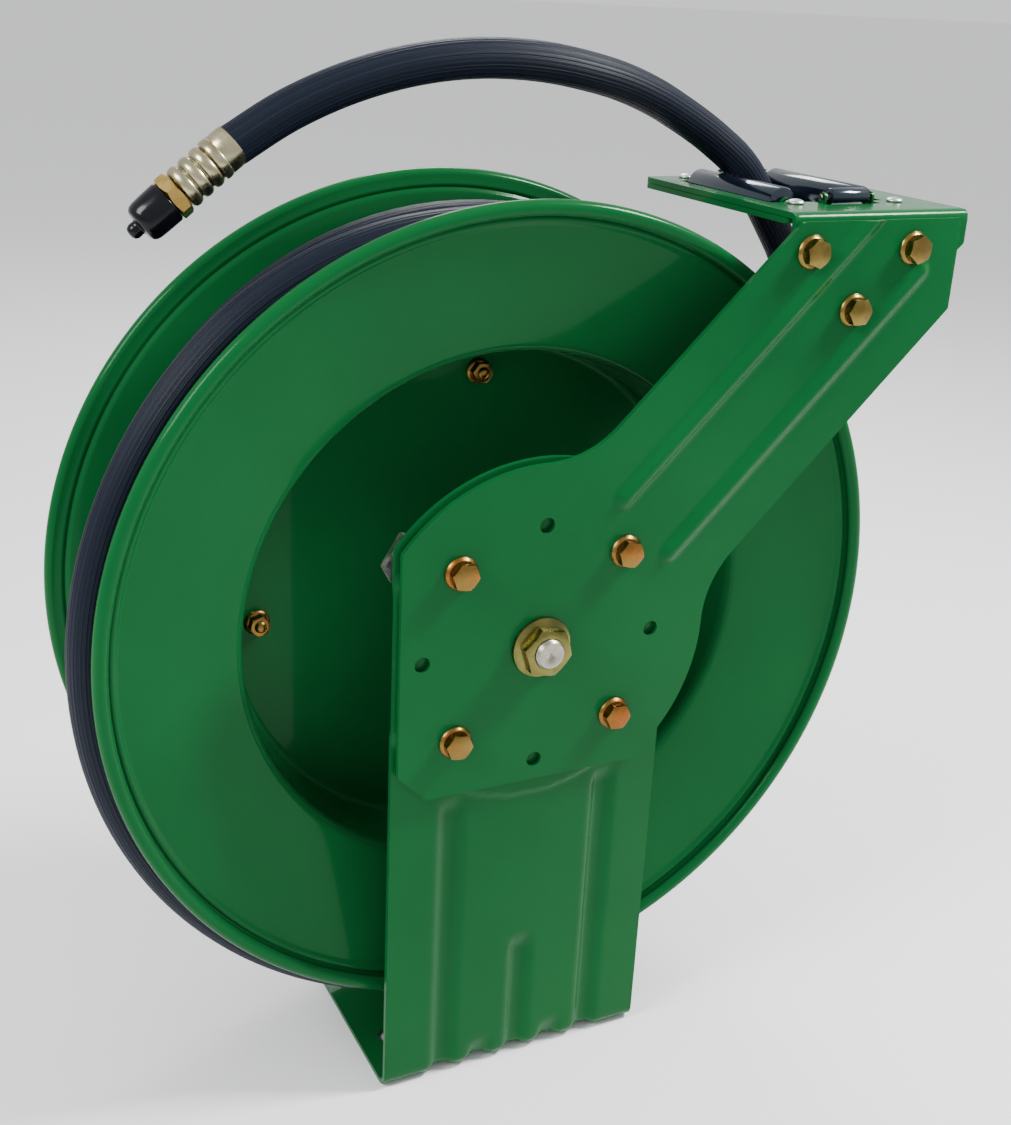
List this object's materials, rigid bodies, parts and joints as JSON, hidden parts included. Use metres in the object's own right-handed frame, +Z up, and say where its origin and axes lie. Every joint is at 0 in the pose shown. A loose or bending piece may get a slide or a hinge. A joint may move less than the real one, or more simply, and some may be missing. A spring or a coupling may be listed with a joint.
{
  "type": "spring-rewind air hose reel",
  "caption": "Pedestal-mounted spring-rewind air hose reel with an open spool, a coiled rubber hose, a roller hose guide on an angled arm and a capped hose end.",
  "frame": {"origin": "middle of the base plate's underside, below the middle plane between the spool's two flanges", "axes": "+Z up, away from the floor the base plate is bolted to; +Y to the rear, along the spool's shaft from the pedestal's front face; +X to the side the guide arm leans to"},
  "size_m": [0.4768, 0.1932, 0.5537],
  "materials": {
    "green_paint": "gloss mid green enamel on pressed steel",
    "yellow_zinc": "yellow-passivated zinc plate on steel",
    "zinc": "clear zinc plate, satin",
    "steel": "bright machined steel",
    "brass": "machined brass, satin",
    "hose_rubber": "dark blue-black rubber, faint lengthwise ribs",
    "black_plastic": "black plastic, slight gloss",
    "cap_vinyl": "black dipped vinyl",
    "seal_rubber": "black nitrile rubber"
  },
  "bodies": {
    "base": {"pedestal": "green_paint", "guide_arm": "green_paint", "arm_bolt_1": "yellow_zinc", "arm_bolt_2": "yellow_zinc", "arm_bolt_3": "yellow_zinc", "arm_bolt_4": "yellow_zinc", "bracket_bolt_1": "yellow_zinc", "bracket_bolt_2": "yellow_zinc", "bracket_bolt_3": "yellow_zinc", "bracket_nut_1": "zinc", "bracket_nut_2": "zinc", "bracket_nut_3": "zinc", "roller_bracket": "green_paint", "roller_frame": "green_paint", "frame_screw_1": "zinc", "frame_screw_2": "zinc", "frame_screw_3": "zinc", "frame_screw_4": "zinc", "roller_pin_left": "steel", "roller_pin_right": "steel", "roller_pin_front": "steel", "roller_pin_rear": "steel", "shaft": "steel", "shaft_nut": "yellow_zinc", "spring_arbor": "steel", "inlet_elbow": "brass", "pawl_stud": "zinc", "pawl_spring": "steel", "hose_run": "hose_rubber", "hose_ferrule": "yellow_zinc", "hose_fitting": "brass"},
    "spool": {"spool_front": "green_paint", "spool_rear": "green_paint", "hub_tube": "zinc", "bush_front": "brass", "bush_rear": "brass", "ratchet_wheel": "zinc", "spool_bolt_1": "yellow_zinc", "spool_bolt_2": "yellow_zinc", "spool_bolt_3": "yellow_zinc", "spool_bolt_4": "yellow_zinc", "spool_nut_1": "yellow_zinc", "spool_nut_2": "yellow_zinc", "spool_nut_3": "yellow_zinc", "spool_nut_4": "yellow_zinc", "spring_case": "green_paint", "spring_strip": "steel", "swivel_body": "brass", "oring_1": "seal_rubber", "oring_2": "seal_rubber", "hose_tail": "hose_rubber", "hose_coil": "hose_rubber"},
    "pawl": {"pawl": "zinc"},
    "roller_left": {"roller_left": "black_plastic"},
    "roller_right": {"roller_right": "black_plastic"},
    "roller_front": {"roller_front": "black_plastic"},
    "roller_rear": {"roller_rear": "black_plastic"},
    "dust_cap": {"dust_cap": "cap_vinyl"}
  },
  "joints": [
    {"name": "spool_spin", "type": "hinge", "parent": "base", "child": "spool", "pos_m": [0, 0, 0.263], "axis": [0, 1, 0], "continuous": true, "stiffness_Nm_per_rad": 0.02},
    {"name": "pawl_pivot", "type": "hinge", "parent": "base", "child": "pawl", "pos_m": [-0.066, -0.065, 0.313], "axis": [0, 1, 0], "range_deg": [-12, 6], "stiffness_Nm_per_rad": 0.02},
    {"name": "roller_left_spin", "type": "hinge", "parent": "base", "child": "roller_left", "pos_m": [0.155, 0, 0.4772], "axis": [0, 1, 0], "continuous": true},
    {"name": "roller_right_spin", "type": "hinge", "parent": "base", "child": "roller_right", "pos_m": [0.207, 0, 0.4772], "axis": [0, 1, 0], "continuous": true},
    {"name": "roller_front_spin", "type": "hinge", "parent": "base", "child": "roller_front", "pos_m": [0.19025, -0.0487, 0.4814], "axis": [1, 0, 0], "continuous": true},
    {"name": "roller_rear_spin", "type": "hinge", "parent": "base", "child": "roller_rear", "pos_m": [0.19025, 0.0487, 0.4814], "axis": [1, 0, 0], "continuous": true},
    {"name": "cap_pull", "type": "slide", "parent": "base", "child": "dust_cap", "axis": [-0.7738, 0, -0.6334], "range_m": [0, 0.022]}
  ]
}
